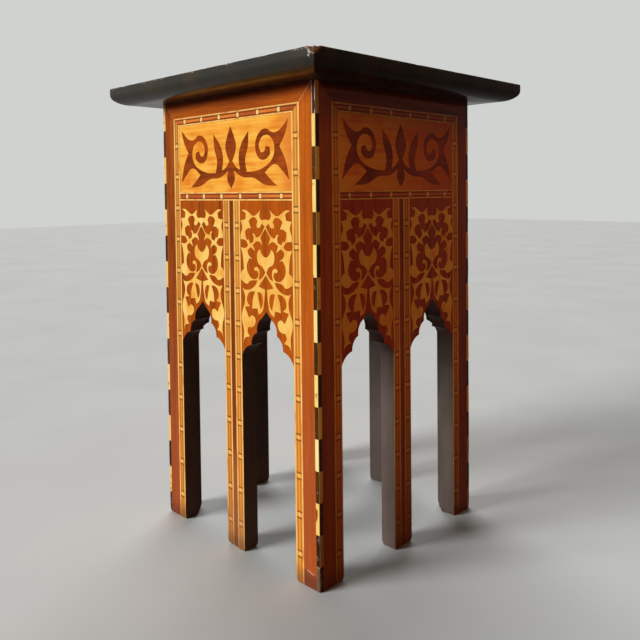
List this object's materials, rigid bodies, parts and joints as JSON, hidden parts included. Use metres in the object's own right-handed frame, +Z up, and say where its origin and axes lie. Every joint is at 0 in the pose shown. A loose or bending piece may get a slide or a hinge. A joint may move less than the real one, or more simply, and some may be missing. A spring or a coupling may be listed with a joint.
{
  "type": "drinks table",
  "caption": "Square inlaid drinks table: overhanging black moulded top on arched, veneered sides with light arabesque marquetry, stringing and chequered corners.",
  "frame": {"origin": "on the floor, under the middle of the table", "axes": "+Z up; -Y towards the front, one of the four alike sides; +X to the right of it"},
  "size_m": [0.36, 0.36, 0.53],
  "materials": {
    "ebonised": "ebonised and French polished, worn at the arrises",
    "mahogany": "French polished veneer",
    "boxwood": "French polished inlay",
    "banding": "French polished patterned banding",
    "walnut": "French polished veneer",
    "satinwood": "French polished veneer",
    "padauk": "French polished inlay",
    "bog_oak": "French polished inlay",
    "blackened_pine": "black stain",
    "pine": "unfinished",
    "iron": "dull"
  },
  "bodies": {
    "root": {"top_board": "ebonised", "top_crossband": "mahogany", "top_stringing": "boxwood", "top_banding": "banding", "top_field_veneer": "walnut", "top_nails": "iron", "core_board_front": "blackened_pine", "corner_post_front": "blackened_pine", "cleat_front": "pine", "crossband_front": "mahogany", "frieze_veneer_front": "satinwood", "frieze_inlay_front": "padauk", "arch_veneer_front": "walnut", "arabesque_inlay_front": "boxwood", "stringing_front": "boxwood", "banding_front": "banding", "edge_blocks_light_front": "boxwood", "edge_blocks_dark_front": "bog_oak", "core_board_right": "blackened_pine", "corner_post_right": "blackened_pine", "cleat_right": "pine", "crossband_right": "mahogany", "frieze_veneer_right": "satinwood", "frieze_inlay_right": "padauk", "arch_veneer_right": "walnut", "arabesque_inlay_right": "boxwood", "stringing_right": "boxwood", "banding_right": "banding", "edge_blocks_light_right": "boxwood", "edge_blocks_dark_right": "bog_oak", "core_board_back": "blackened_pine", "corner_post_back": "blackened_pine", "cleat_back": "pine", "crossband_back": "mahogany", "frieze_veneer_back": "satinwood", "frieze_inlay_back": "padauk", "arch_veneer_back": "walnut", "arabesque_inlay_back": "boxwood", "stringing_back": "boxwood", "banding_back": "banding", "edge_blocks_light_back": "boxwood", "edge_blocks_dark_back": "bog_oak", "core_board_left": "blackened_pine", "corner_post_left": "blackened_pine", "cleat_left": "pine", "crossband_left": "mahogany", "frieze_veneer_left": "satinwood", "frieze_inlay_left": "padauk", "arch_veneer_left": "walnut", "arabesque_inlay_left": "boxwood", "stringing_left": "boxwood", "banding_left": "banding", "edge_blocks_light_left": "boxwood", "edge_blocks_dark_left": "bog_oak"}
  },
  "joints": []
}
